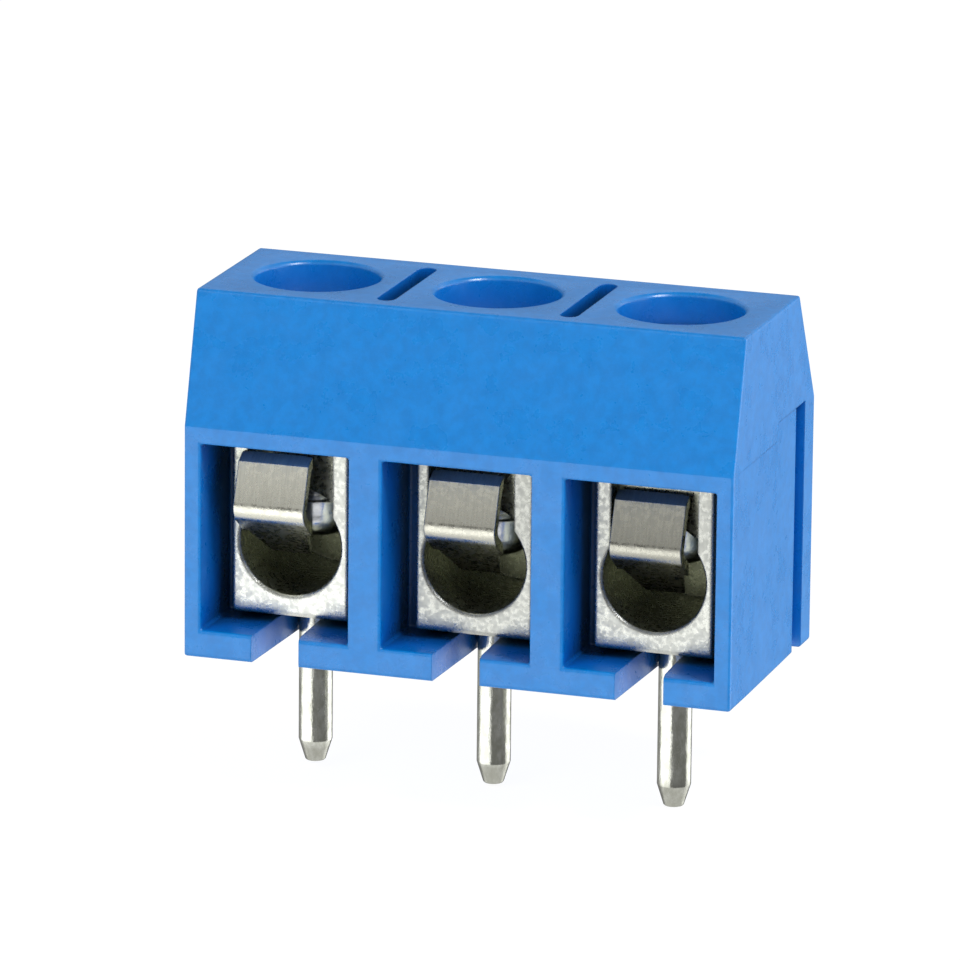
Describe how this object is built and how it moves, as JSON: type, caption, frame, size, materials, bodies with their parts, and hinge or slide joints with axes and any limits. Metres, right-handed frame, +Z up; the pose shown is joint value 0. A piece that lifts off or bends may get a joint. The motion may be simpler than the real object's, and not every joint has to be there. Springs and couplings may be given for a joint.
{
  "type": "screw terminal block",
  "caption": "Board-mounted screw terminal block: a moulded housing with metal wire cages, clamping screws in top wells, sliding wire guards and round solder pins below.",
  "frame": {"origin": "on the middle solder pin's axis, level with the housing's underside, which sits on the circuit board", "axes": "+Z up out of the board and along the screws, +X along the row of poles, -Y towards the wire entries"},
  "size_m": [0.0156, 0.0074, 0.0137],
  "materials": {
    "housing_plastic": "satin blue moulded plastic",
    "cage_metal": "barrel tin-plated brass, finely granular",
    "pin_metal": "bright tinned brass, drawn",
    "guard_metal": "rolled strip with fine grain",
    "screw_metal": "zinc plated"
  },
  "bodies": {
    "terminal_block": {"housing": "housing_plastic", "cage_1": "cage_metal", "cage_2": "cage_metal", "cage_3": "cage_metal", "solder_pin_1": "pin_metal", "solder_pin_2": "pin_metal", "solder_pin_3": "pin_metal"},
    "guard_1": {"wire_guard_1": "guard_metal"},
    "guard_2": {"wire_guard_2": "guard_metal"},
    "guard_3": {"wire_guard_3": "guard_metal"},
    "screw_1": {"clamp_screw_1": "screw_metal"},
    "screw_2": {"clamp_screw_2": "screw_metal"},
    "screw_3": {"clamp_screw_3": "screw_metal"}
  },
  "joints": [
    {"name": "guard_slide_1", "type": "slide", "parent": "terminal_block", "child": "guard_1", "axis": [0, 0, -1], "range_m": [-0.00036, 0.00045]},
    {"name": "guard_slide_2", "type": "slide", "parent": "terminal_block", "child": "guard_2", "axis": [0, 0, -1], "range_m": [-0.00036, 0.00045]},
    {"name": "guard_slide_3", "type": "slide", "parent": "terminal_block", "child": "guard_3", "axis": [0, 0, -1], "range_m": [-0.00036, 0.00045]},
    {"name": "screw_turn_1", "type": "hinge", "parent": "guard_1", "child": "screw_1", "pos_m": [-0.00508, 0, 0.009], "axis": [0, 0, -1], "range_deg": [-288, 360]},
    {"name": "screw_turn_2", "type": "hinge", "parent": "guard_2", "child": "screw_2", "pos_m": [0, 0, 0.009], "axis": [0, 0, -1], "range_deg": [-288, 360]},
    {"name": "screw_turn_3", "type": "hinge", "parent": "guard_3", "child": "screw_3", "pos_m": [0.00508, 0, 0.009], "axis": [0, 0, -1], "range_deg": [-288, 360]}
  ],
  "couplings": [
    {"joint": "screw_turn_1", "follows": "guard_slide_1", "rad_per_m": 13963},
    {"joint": "screw_turn_2", "follows": "guard_slide_2", "rad_per_m": 13963},
    {"joint": "screw_turn_3", "follows": "guard_slide_3", "rad_per_m": 13963}
  ]
}
